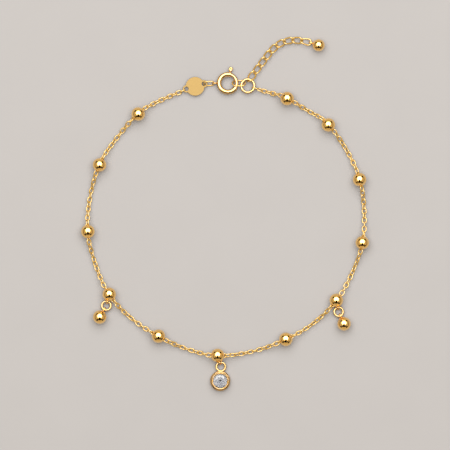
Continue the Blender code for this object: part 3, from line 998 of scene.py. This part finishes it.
@dataclass
class Beads:
    """Station beads with their bores and eyes, and the two bead drops with their jump rings."""

    layout: Layout
    bore: float = 0.65 * MM
    bore_round: float = 0.05 * MM
    lip_share: float = 0.6
    eye: float = 0.60 * MM
    eye_wire: float = 0.19 * MM
    ring: float = 1.18 * MM
    ring_wire: float = 0.30 * MM
    solder: float = 0.13 * MM
    belly_clearance: float = 0.10 * MM
    sides: int = 64
    left: Drop = field(default_factory=lambda: Drop("bead_04", -104.6, -120.0))
    right: Drop = field(default_factory=lambda: Drop("bead_08", -78.4, -66.0))
    pendant: Drop = field(default_factory=lambda: Drop("bead_06", -74.5, -92.5))

    @property
    def ring_height(self) -> float:
        """Height of a jump ring's centre."""
        return self.eye + self.eye_wire + self.layout.lift

    def ball(self, radius: float) -> Shell:
        """Plain polished ball."""
        return plain_ball(radius, BALL_STEPS, self.sides)

    def bored_ball(self, centre: Vector, heading: Vector) -> Shell:
        """Ball bored along the chain, its hole's edge a little rounded.

        Args:
            centre: the ball's centre.
            heading: the bore's direction.

        Returns:
            The bored ball.
        """
        radius = self.layout.bead
        end = math.asin((self.bore + self.bore_round) / radius)
        side = side_profile(radius, end, math.pi - end, BORED_STEPS)
        lip = radius * math.cos(end) - self.bore_round * self.lip_share
        profile = [(self.bore, 0.0), (self.bore, -lip), *side, (self.bore, lip)]
        turn = UP.rotation_difference(heading).to_matrix().to_4x4()
        return Shell.turned(profile, self.sides, True).moved(Matrix.Translation(centre) @ turn)

    def upright_eye(self, centre: Vector, heading: Vector) -> Shell:
        """Small soldered eye, upright along the heading."""
        return round_ring(self.eye, self.eye_wire, centre, heading, UP)

    def hanging_ring(self, drop: Drop) -> Vector:
        """Centre of the ring that hangs on a station bead.

        Args:
            drop: what hangs there.

        Returns:
            The ring's centre.
        """
        index = [s.name for s in self.layout.stations].index(drop.bead)
        bead = self.layout.beads()[index]
        apart = self.layout.bead + self.ring_wire + self.belly_clearance
        reach = self.ring + math.sqrt(apart**2 - (self.layout.bead - self.ring_height) ** 2)
        return Vector((bead.x, bead.y, self.ring_height)) + heading_vector(drop.ring_heading) * reach

    def eye_reach(self, ball: float, eye: float, height: float) -> float:
        """Level distance from a ball's centre to its eye's centre."""
        apart = ball + eye + self.eye_wire - self.solder
        return math.sqrt(apart**2 - (ball - height) ** 2)

    def build(self) -> None:
        """Makes the station beads, jump rings and bead drops."""
        gold = POLISHED_GOLD.material()
        anchors = CableChain(self.layout).anchors()
        held = {d.bead: d for d in (self.left, self.right, self.pendant)}
        for station, centre, heading in zip(self.layout.stations, anchors[1:-1], headings(anchors)):
            shell = self.bored_ball(centre, heading)
            drop = held.get(station.name)
            if drop:
                out = heading_vector(drop.ring_heading)
                eye = self.hanging_ring(drop) - out * self.ring
                shell = shell.plus(self.upright_eye(eye, out))
            shell.dress(station.name + "_gold", gold, station.name)
        for side, drop in (("left", self.left), ("right", self.right)):
            ring = self.hanging_ring(drop)
            name = "jump_ring_" + side
            flat_ring(self.ring, self.ring_wire, ring).dress(name + "_wire", WIRE_GOLD.material(), name)
            out = heading_vector(drop.drop_heading)
            eye = ring + out * self.ring
            ball = eye + out * self.eye_reach(self.layout.bead, self.eye, self.ring_height)
            ball.z = self.layout.bead
            shell = self.ball(self.layout.bead).moved(Matrix.Translation(ball))
            shell = shell.plus(self.upright_eye(eye, out))
            name = "drop_bead_" + side
            shell.dress(name + "_gold", gold, name)


@dataclass
class Pendant:
    """Stepped bezel with its soldered bail ring, and the round cut stone."""

    beads: Beads
    flange: float = 2.675 * MM
    flange_height: float = 1.25 * MM
    flange_round: float = 0.28 * MM
    collar_step: float = 0.33 * MM
    collar_taper: float = 0.16 * MM
    swell: float = 0.04 * MM
    crest: float = 0.13 * MM
    sides: int = 96
    rim_round: float = 0.07 * MM
    rim_drop: float = 0.12 * MM
    height: float = 2.35 * MM
    back_hole: float = 0.9 * MM
    stone: float = 2.0 * MM
    stone_gap: float = 0.10 * MM
    stone_inset: float = 0.14 * MM
    girdle_depth: float = 0.40 * MM
    girdle_half: float = 0.04 * MM
    pavilion: float = 0.86
    bail_to_bezel: float = 3.75 * MM

    def build(self) -> None:
        """Makes the bezel and dresses the stone."""
        drop = self.beads.pendant
        ring = self.beads.hanging_ring(drop)
        centre = ring + heading_vector(drop.drop_heading) * self.bail_to_bezel
        centre.z = 0.0
        top, small = self.height, self.rim_round
        collar = self.flange - self.collar_step
        lip = self.stone - self.stone_inset
        pocket = self.stone + self.stone_gap
        seat = top - self.girdle_depth - 2 * self.girdle_half - self.stone_gap
        edge = self.flange_round
        profile = [(self.flange - edge, 0.0), (self.flange - 0.3 * edge, 0.3 * edge), (self.flange, edge)]
        profile += [(self.flange, self.flange_height - edge)]
        for share in (0.15, 0.5, 0.85, 1.0):
            swell = self.swell * math.sin(math.pi * share)
            level = self.flange_height - edge * (1 - share) + swell
            profile.append((self.flange - edge * share + swell, level))
        profile.append((collar, self.flange_height + edge / 2))
        shoulder = collar - self.collar_taper
        profile.append((shoulder, top - small))
        for k in range(1, 5):
            a = math.pi / 2 * k / 4
            profile.append((shoulder - small * (1 - math.cos(a)), top - small * (1 - math.sin(a))))
        profile += [(shoulder - self.crest, top), (shoulder - self.crest - 0.04 * MM, top - 0.01 * MM)]
        profile += [(lip + 0.03 * MM, top - self.rim_drop), (lip, top - self.rim_drop - 0.02 * MM)]
        profile += [(lip, top - self.rim_drop - small), (pocket, top - self.rim_drop - 2 * small)]
        profile += [(pocket, seat)]
        profile += [(self.back_hole, seat - (pocket - self.back_hole) * self.pavilion), (self.back_hole, 0.0)]
        shell = Shell.turned(profile, self.sides, True).moved(Matrix.Translation(centre))
        bail = flat_ring(self.beads.ring, self.beads.ring_wire, ring)
        shell.plus(bail).dress("bezel_and_bail", WIRE_GOLD.material(), "bezel", 30.0)
        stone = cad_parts["stone"]
        stone.data.materials.clear()
        stone.data.materials.append(CUT_STONE.material())
        log.info("stone: dressed")


@dataclass
class Tag:
    """Flat bare tag with an ear and a hole at each end, satin face and polished edge."""

    layout: Layout
    radius: float = 2.43 * MM
    ear: float = 0.93 * MM
    thickness: float = 0.38 * MM
    bevel: float = 0.06 * MM
    level_share: float = 0.98
    disc_steps: int = 44
    ear_steps: int = 28
    hole_steps: int = 40

    def outline(self) -> Outline:
        """Goes round the tag: an ear, half the disc, the other ear, the other half.

        Returns:
            Points of the outline.
        """
        offset = self.layout.tag_hole_offset
        reach = (self.radius**2 - self.ear**2 + offset**2) / (2 * offset)
        height = math.sqrt(self.radius**2 - reach**2)
        on_disc, on_ear = math.atan2(height, reach), math.atan2(height, reach - offset)
        points = []
        for shift, radius, first, last, steps in (
            (offset, self.ear, -on_ear, on_ear, self.ear_steps),
            (0.0, self.radius, on_disc, math.pi - on_disc, self.disc_steps),
            (-offset, self.ear, math.pi - on_ear, math.pi + on_ear, self.ear_steps),
            (0.0, self.radius, math.pi + on_disc, 2 * math.pi - on_disc, self.disc_steps),
        ):
            for k in range(steps):
                a = first + (last - first) * k / steps
                points.append((shift + radius * math.cos(a), radius * math.sin(a)))
        return points

    def build(self) -> None:
        """Makes the tag from a filled outline with two holes."""
        curve = bpy.data.curves.new("tag_outline", "CURVE")
        curve.dimensions = "2D"
        curve.fill_mode = "BOTH"
        curve.extrude = self.thickness / 2 - self.bevel
        curve.bevel_depth = self.bevel
        curve.bevel_resolution = 2
        offset, hole = self.layout.tag_hole_offset, self.layout.tag_hole_radius
        turns = [2 * math.pi * k / self.hole_steps for k in range(self.hole_steps)]
        holes = [[(end * offset + hole * math.cos(a), hole * math.sin(a)) for a in turns] for end in (-1, 1)]
        for loop in (self.outline(), *holes):
            spline = curve.splines.new("POLY")
            spline.points.add(len(loop) - 1)
            spline.use_cyclic_u = True
            for target, (x, y) in zip(spline.points, loop):
                target.co = (x, y, 0.0, 1.0)
        mesh = settled_mesh(new_object("tag_outline", curve))
        place = Matrix.Translation(self.layout.on_loop(self.layout.tag_place, self.layout.tag_height))
        mesh.transform(place @ Matrix.Rotation(math.radians(self.layout.tag_turn), 4, "Z"))
        bm = bmesh.new()
        bm.from_mesh(mesh)
        bmesh.ops.remove_doubles(bm, verts=bm.verts, dist=1e-7)
        bmesh.ops.recalc_face_normals(bm, faces=bm.faces)
        for face in bm.faces:
            level = abs(face.normal.z) > self.level_share
            face.material_index = 0 if level else 1
            face.smooth = not level
        bm.to_mesh(mesh)
        bm.free()
        mesh.materials.clear()
        mesh.materials.append(SATIN_GOLD.material())
        mesh.materials.append(WIRE_GOLD.material())
        hand_over(new_object("tag_plate", mesh), Body.ANKLET, ["tag"])


@dataclass
class Clasp:
    """Spring-ring clasp: hollow body with its slot and eye, sliding gate and dimpled trigger."""

    layout: Layout
    radius: float = 2.35 * MM
    tube: float = 0.65 * MM
    wall: float = 0.11 * MM
    body_start: float = 68.0
    body_end: float = 332.0
    slot_start: float = 73.0
    slot_end: float = 138.0
    slot_half: float = 20.0
    gate_wire: float = 0.48 * MM
    gate_tail: float = 90.0
    gate_tip: float = -33.0
    trigger: float = 78.6
    stem: tuple[float, float, float] = (0.95, 0.40, 0.22)
    stem_root: float = 0.10 * MM
    knob: tuple[float, float, float] = (0.68, 0.61, 0.42)
    knob_clearance: float = 0.08 * MM
    knob_reach: float = 0.66 * MM
    knob_square: float = 0.86
    knob_taper: float = 0.10
    dimple: tuple[float, float, float] = (0.5, 0.34, 0.5)
    slot_steps: int = 20
    body_steps: int = 60
    gate_steps: int = 48
    slot_cells: int = 4
    arc_cells: int = 24
    edge_trim: float = 0.04 * MM
    eye: float = 0.60 * MM
    eye_wire: float = 0.19 * MM
    eye_offset: float = 3.50 * MM

    def centre(self) -> Vector:
        """The ring's centre."""
        return self.layout.on_loop(self.layout.clasp_place, self.layout.clasp_height)

    def eye_centre(self) -> Vector:
        """Centre of the soldered eye."""
        centre = self.centre()
        return Vector((centre.x - self.eye_offset, centre.y, self.eye + self.eye_wire + self.layout.lift))

    def pipe(self) -> Shell:
        """Hollow body as a wall of cells, without those of the trigger's slot.

        Returns:
            The body, about the ring's centre.
        """
        stops = [self.body_start, self.body_start + 2.5, self.slot_start]
        for first, last, steps in (
            (self.slot_start, self.slot_end, self.slot_steps),
            (self.slot_end, self.body_end, self.body_steps),
        ):
            stops += [first + (last - first) * k / steps for k in range(1, steps + 1)]
        around = [-self.slot_half + 2 * self.slot_half * k / self.slot_cells for k in range(self.slot_cells)]
        arc = 360 - 2 * self.slot_half
        around += [self.slot_half + arc * k / self.arc_cells for k in range(self.arc_cells)]
        shell = Shell()
        columns, rows = len(around), len(stops) - 1
        for row, stop in enumerate(stops):
            outward = heading_vector(stop)
            trim = self.edge_trim if row in (0, rows) else 0.0
            for turn in around:
                a = math.radians(turn)
                direction = math.cos(a) * outward + math.sin(a) * UP
                for radius in (self.tube - trim, self.tube - self.wall):
                    shell.points.append(outward * self.radius + direction * radius)

        def solid(i: int, j: int) -> bool:
            """Whether this cell of the wall is there."""
            along_slot = self.slot_start <= stops[max(0, min(i, rows))] < self.slot_end
            return 0 <= i < rows and not (along_slot and j % columns < self.slot_cells)

        def at(i: int, j: int, layer: int) -> int:
            """Index of a wall point."""
            return (i * columns + j % columns) * 2 + layer

        for i in range(rows):
            for j in range(columns):
                if not solid(i, j):
                    continue
                a, b = at(i, j, 0), at(i, j, 1)
                c, d = at(i, j + 1, 0), at(i, j + 1, 1)
                e, f = at(i + 1, j, 0), at(i + 1, j, 1)
                g, h = at(i + 1, j + 1, 0), at(i + 1, j + 1, 1)
                shell.faces += [(a, c, g, e), (b, f, h, d)]
                for there, quad in (
                    (solid(i - 1, j), (a, b, d, c)),
                    (solid(i + 1, j), (e, g, h, f)),
                    (solid(i, j - 1), (a, e, f, b)),
                    (solid(i, j + 1), (c, d, h, g)),
                ):
                    if not there:
                        shell.faces.append(quad)
        used = sorted({i for face in shell.faces for i in face})
        new = {old: k for k, old in enumerate(used)}
        return Shell([shell.points[i] for i in used], [tuple(new[i] for i in face) for face in shell.faces])

    def knob_shell(self) -> Shell:
        """Trigger's knob, wider at its outer end, with a dimple on top.

        Returns:
            The knob, with X outwards.
        """
        egg = plain_ball(1.0, 24, 40)
        x, y, z = (v * MM for v in self.knob)
        dimple_length, dimple_width, dimple_depth = self.dimple
        taper = self.knob_taper
        points = []
        for p in egg.points:
            squared = Vector([math.copysign(abs(v) ** self.knob_square, v) for v in p])
            fade = math.exp(-((p.x / dimple_length) ** 2 + (p.y / dimple_width) ** 2))
            dimple = dimple_depth * fade if p.z > 0 else 0.0
            width = squared.y * y * (1.0 - taper + taper * p.x)
            points.append(Vector((squared.x * x, width, (p.z - dimple) * z)))
        return Shell(points, egg.faces)

    def build(self) -> None:
        """Makes body and gate."""
        gold = WIRE_GOLD.material()
        centre = self.centre()
        place = Matrix.Translation(centre)
        eye = round_ring(self.eye, self.eye_wire, self.eye_centre(), Vector((-1, 0, 0)), UP)
        self.pipe().moved(place).plus(eye).dress("clasp_ring_body", gold, "clasp_body", 35.0)

        swing = self.gate_tail - self.gate_tip
        turns = [self.gate_tip + swing * k / self.gate_steps for k in range(self.gate_steps + 1)]
        path = [(heading_vector(t) * self.radius, UP) for t in turns]
        rod = Shell.drawn(path, [self.gate_wire] * len(path), 20, False).moved(place)
        outward = heading_vector(self.trigger)
        length, width, depth = (v * MM for v in self.stem)
        across = UP.cross(outward)
        foot = centre + outward * (self.radius + self.stem_root)
        stem_path = [(foot, across), (foot + outward * length, across)]
        stem = Shell.drawn(stem_path, [depth / 2] * 2, 12, False)
        reach = self.radius + self.tube + self.knob_clearance + self.knob_reach
        knob = self.knob_shell().moved(axes_matrix(centre + outward * reach, outward))
        gate = rod.plus(stem).plus(knob).piece("clasp_gate_and_trigger", gold, 45.0)
        hand_over(gate, Body.GATE, ["clasp_gate"])


@dataclass
class Couplings:
    """Links between tag, clasp and end ring, and the end ring itself."""

    layout: Layout
    clasp: Clasp
    link_wire: float = 0.185 * MM
    tag_half_width: float = 0.74 * MM
    ring_half_width: float = 1.0 * MM
    ring_roll: float = -44.0
    gate_slack: float = 0.485 * MM
    end_slack: float = 0.398 * MM

    def build(self) -> None:
        """Makes the two links and the end ring."""
        linked = CHAIN_GOLD.material()
        radius, wire = self.layout.end_ring_radius, self.layout.end_ring_wire
        eye = self.clasp.eye_centre()
        hole = self.layout.tag_hole(1)
        inset = self.clasp.eye - self.link_wire - self.clasp.eye_wire - self.layout.gap
        start, end = Vector((hole.x, hole.y, eye.z)), eye - Vector((inset, 0, 0))
        link = oval_link(start, end, self.tag_half_width, self.link_wire, (45.0, 45.0))
        link.dress("tag_clasp_link_wire", linked, "tag_clasp_link")
        centre, ring = self.clasp.centre(), self.layout.end_ring()
        inside_gate = self.clasp.radius - self.clasp.gate_wire - self.link_wire - self.gate_slack
        inside_ring = ring.x - math.sqrt(radius**2 - (centre.y - ring.y) ** 2)
        inside_ring += wire + self.link_wire + self.end_slack
        start, end = centre + Vector((inside_gate, 0, 0)), Vector((inside_ring, centre.y, centre.z))
        link = oval_link(start, end, self.ring_half_width, self.link_wire, (self.ring_roll, self.ring_roll))
        link.dress("clasp_ring_link_wire", linked, "clasp_ring_link")
        flat_ring(radius, wire, ring).dress("end_ring_wire", WIRE_GOLD.material(), "end_ring")


@dataclass(frozen=True)
class CurbLink:
    """One extender link: heading, and roll at each end, in degrees."""

    heading: float
    roll_start: float = -45.0
    roll_end: float = 45.0


@dataclass
class Extender:
    """Twisted curb links, the first of them through the end ring, and the end bead."""

    layout: Layout
    beads: Beads
    start_heading: float = 75.0
    wire: float = 0.21 * MM
    half_width: float = 0.84 * MM
    pitch: float = 2.31 * MM
    height: float = 0.70 * MM
    gap: float = 0.08 * MM
    bead_heading: float = -18.8
    bead: float = 1.625 * MM
    eye: float = 0.56 * MM
    links: tuple[CurbLink, ...] = (
        CurbLink(53.5, roll_start=-66.0),
        CurbLink(53.0),
        CurbLink(53.0),
        CurbLink(53.0),
        CurbLink(44.5),
        CurbLink(28.0),
        CurbLink(10.0),
        CurbLink(-4.5),
        CurbLink(-12.0, roll_end=0.0),
    )

    def build(self) -> None:
        """Makes the curb links and the end bead."""
        gold, layout = CHAIN_GOLD.material(), self.layout
        joint = layout.end_ring() + heading_vector(self.start_heading) * layout.end_ring_radius
        before, overlap = layout.end_ring_wire + self.wire + self.gap, self.wire + self.gap / 2
        centres, alongs, rolls, length = [], [], [], 0.0
        for number, link in enumerate(self.links, 1):
            after = joint + heading_vector(link.heading) * self.pitch
            after.z = self.height
            along = (after - joint).normalized()
            first, last = joint - along * before, after + along * overlap
            if number == 1:
                shell = oval_link(first, last, self.half_width, self.wire, (link.roll_start, link.roll_end))
                shell.dress("extender_ring_link", gold, "extender_link_1")
            else:
                centres.append((first + last) / 2)
                alongs.append(along)
                rolls.append((math.radians(link.roll_start), math.radians(link.roll_end)))
                length = (last - first).length + 2 * self.wire
            joint, before = after, overlap
        carrier = bpy.data.meshes.new("curb_points")
        carrier.from_pydata([tuple(c) for c in centres], [], [])
        for name, kind, values in (
            ("along", "FLOAT_VECTOR", [v for a in alongs for v in a]),
            ("roll_start", "FLOAT", [start for start, _ in rolls]),
            ("roll_end", "FLOAT", [end for _, end in rolls]),
        ):
            attribute = carrier.attributes.new(name, kind, "POINT")
            attribute.data.foreach_set("vector" if kind == "FLOAT_VECTOR" else "value", values)
        maker = LinkMaker(length, 2 * (self.half_width + self.wire), self.wire, 14, 10)
        curb = maker.build("extender_curb_links", carrier, gold)
        names = [f"extender_link_{number}" for number in range(2, len(self.links) + 1)]
        hand_over(curb, Body.ANKLET, names)

        hook = (self.wire + self.beads.eye_wire + self.gap) / 2
        heading = heading_vector(self.bead_heading)
        height = self.eye + self.beads.eye_wire + layout.lift
        eye = joint + heading * (self.eye - hook)
        eye.z = height
        ball = eye + heading * self.beads.eye_reach(self.bead, self.eye, height)
        ball.z = self.bead
        shell = self.beads.ball(self.bead).moved(Matrix.Translation(ball))
        shell = shell.plus(round_ring(self.eye, self.beads.eye_wire, eye, heading, UP))
        shell.dress("end_bead_gold", POLISHED_GOLD.material(), "end_bead")


@dataclass
class Studio:
    """Pale floor, one large overhead softbox, dim walls and the camera straight above."""

    floor_tone: Tone = (0.2840, 0.2785, 0.2840)
    camera_height: float = 1.2
    view_width: float = 0.1195
    look_at: tuple[float, float] = (0.0, -0.00319)
    soft_radius: float = 0.76
    soft_power: float = 24.6
    soft_tilt: float = math.radians(18.0)
    soft_distance: float = 0.95
    wall_light: float = 0.60

    def floor(self) -> None:
        """Pale paper floor with a faint mottle."""
        shell = Shell.turned([(0.0, 0.0), (2.5, 0.0)], 64, False)
        paper, bench = new_material("pale_paper")
        low, high = (tuple(v * share for v in self.floor_tone) for share in (0.975, 1.025))
        bench.shade({
            "Base Color": bench.blend(bench.noise(60.0, 4.0), low, high),
            "Normal": bench.relief(bench.noise(1500.0, 2.0), 0.1, 2e-5),
            "Roughness": 0.9,
            "Specular IOR Level": 0.2,
        })
        plane = shell.piece("floor", paper)

    def card(self, name: str, centre: Vector, width: float, height: float, tone: float = 0.01) -> None:
        """Dark card that shows only in reflections.

        Args:
            name: the card's name.
            centre: its middle; it faces the object.
            width: its level width.
            height: its other side.
            tone: how light its grey is.
        """
        material, bench = new_material(name)
        grey = (tone, tone * 0.85, tone * 0.65, 1.0)
        bench.shade({"Base Color": grey, "Roughness": 1.0, "Specular IOR Level": 0.0})
        forward = centre.normalized()
        side = UP.cross(forward).normalized()
        up = forward.cross(side)
        corners = [
            centre + side * width / 2 * a + up * height / 2 * b
            for a, b in ((-1, -1), (1, -1), (1, 1), (-1, 1))
        ]
        obj = Shell(corners, [(0, 1, 2, 3)]).piece(name, material)
        obj.visible_camera = obj.visible_shadow = obj.visible_diffuse = obj.visible_transmission = False

    def lights(self) -> None:
        """Softbox above, towards the top of the picture, and dim even walls."""
        data = bpy.data.lights.new("softbox", "AREA")
        data.shape = "DISK"
        data.size = 2 * self.soft_radius
        data.energy = self.soft_power
        data.color = (1.0, 0.99, 0.975)
        lamp = new_object("softbox", data)
        direction = Vector((0.0, math.sin(self.soft_tilt), math.cos(self.soft_tilt)))
        lamp.location = direction * self.soft_distance
        lamp.rotation_mode = "QUATERNION"
        lamp.rotation_quaternion = direction.to_track_quat("Z", "Y")
        lamp.visible_camera = False
        world = bpy.data.worlds.new("walls")
        world.use_nodes = True
        back = world.node_tree.nodes["Background"]
        back.inputs["Color"].default_value = (1.0, 0.85, 0.62, 1.0)
        back.inputs["Strength"].default_value = self.wall_light
        bpy.context.scene.world = world

    def camera(self) -> None:
        """Camera straight above, with a long lens."""
        data = bpy.data.cameras.new("camera")
        data.sensor_width = 36.0
        data.lens = 36.0 * self.camera_height / self.view_width
        data.clip_start, data.clip_end = 0.1, 10.0
        camera = new_object("camera", data)
        camera.location = (*self.look_at, self.camera_height)
        bpy.context.scene.camera = camera

    def build(self) -> None:
        """Sets the studio up."""
        self.camera()
        self.floor()
        self.lights()
        for name, tilt, turn, reach, width, height, tone in (
            ("rig_bar", 46.5, 180.0, 0.90, 1.60, 0.32, 0.01),
            ("rig_stem", 22.0, 180.0, 0.90, 0.52, 0.62, 0.01),
            ("stand_1", 74.0, -44.0, 0.70, 0.26, 0.34, 0.01),
            ("stand_2", 74.0, 44.0, 0.70, 0.26, 0.34, 0.01),
            ("stand_3", 76.0, 138.0, 0.70, 0.30, 0.26, 0.01),
            ("stand_4", 76.0, -138.0, 0.70, 0.30, 0.26, 0.01),
            ("wall_left", 82.5, -90.0, 1.10, 1.60, 0.22, 0.14),
            ("wall_right", 82.5, 90.0, 1.10, 1.60, 0.22, 0.14),
        ):
            a, t = math.radians(turn), math.radians(tilt)
            direction = Vector((math.sin(a) * math.sin(t), math.cos(a) * math.sin(t), math.cos(t)))
            self.card(name, direction * reach, width, height, tone)
        bpy.context.scene.view_settings.view_transform = "Standard"
        log.info("studio: set up")


def main() -> None:
    """Dresses the anklet, sub-assembly by sub-assembly."""
    logging.basicConfig(level=logging.INFO, format="%(name)s: %(message)s")
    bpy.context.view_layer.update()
    layout = Layout()
    beads = Beads(layout)
    clasp = Clasp(layout)
    for assembly in (
        Studio(),
        CableChain(layout),
        beads,
        Pendant(beads),
        Tag(layout),
        clasp,
        Couplings(layout, clasp),
        Extender(layout, beads),
    ):
        assembly.build()
        log.info("%s done", type(assembly).__name__)


if __name__ == "__main__":
    main()
